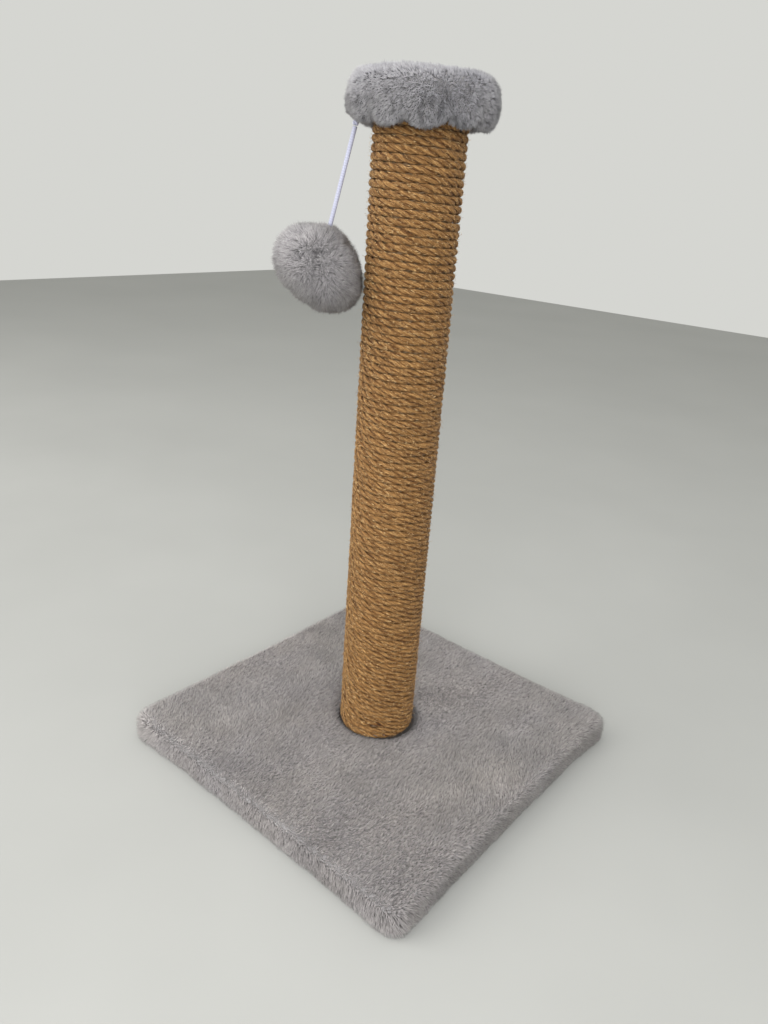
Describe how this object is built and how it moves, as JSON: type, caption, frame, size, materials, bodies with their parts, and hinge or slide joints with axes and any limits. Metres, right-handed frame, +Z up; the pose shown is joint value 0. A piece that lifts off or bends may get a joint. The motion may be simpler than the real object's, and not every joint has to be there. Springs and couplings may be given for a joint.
{
  "type": "cat scratching post with hanging ball",
  "caption": "Cat scratching post: plush-covered square base, rope-wound upright post, round plush cap and a plush ball hanging on an elastic cord.",
  "frame": {"origin": "on the floor at the middle of the base", "axes": "+Z up along the post; +X and +Y along the sides of the square base; the ball hangs towards -X -Y"},
  "size_m": [0.3, 0.3, 0.5298],
  "materials": {
    "plush": "matte short-pile plush",
    "jute": "matte twisted jute rope",
    "elastic": "smooth braided elastic cord",
    "particle_board": "raw board",
    "card": "spiral-wound card",
    "zinc_steel": "zinc plated",
    "lining": "non-woven sheet",
    "foam": "open-cell foam",
    "stuffing": "polyester fibre"
  },
  "bodies": {
    "post_and_base": {"base_liner": "lining", "base_board": "particle_board", "base_cover": "plush", "base_staples": "zinc_steel", "base_bolt": "zinc_steel", "base_washer": "zinc_steel", "post_tube": "card", "bottom_plug": "particle_board", "bottom_tee_nut": "zinc_steel", "top_plug": "particle_board", "plug_nails": "zinc_steel", "rope_winding": "jute", "rope_staples": "zinc_steel", "cap_board": "particle_board", "cap_screws": "zinc_steel", "cap_pad": "foam", "cap_cover": "plush", "cap_staples": "zinc_steel", "toy_staple": "zinc_steel"},
    "cord_loop": {"toy_cord_loop": "elastic", "toy_cord_knot": "elastic"},
    "cord": {"toy_cord": "elastic"},
    "cord_end": {"ball_knot": "elastic"},
    "ball": {"ball_stuffing": "stuffing", "ball_cover": "plush", "ball_tie": "elastic"}
  },
  "joints": [
    {"name": "swing_out", "type": "hinge", "parent": "post_and_base", "child": "cord_loop", "pos_m": [-0.03121, -0.0281, 0.5009], "axis": [-0.6691, 0.7431, 0], "range_deg": [0, 75]},
    {"name": "swing_side", "type": "hinge", "parent": "cord_loop", "child": "cord", "pos_m": [-0.03185, -0.02868, 0.4971], "axis": [-0.7249, -0.6527, 0.2201], "range_deg": [-75, 75]},
    {"name": "stretch", "type": "slide", "parent": "cord", "child": "cord_end", "axis": [-0.1636, -0.1473, -0.9755], "range_m": [0, 0.06], "stiffness_N_per_m": 80, "springref_m": -0.004, "deforming": ["toy_cord"]},
    {"name": "ball_twist", "type": "hinge", "parent": "cord_end", "child": "ball", "pos_m": [-0.04734, -0.04262, 0.40472], "axis": [-0.1636, -0.1473, -0.9755], "range_deg": [-180, 180]}
  ]
}
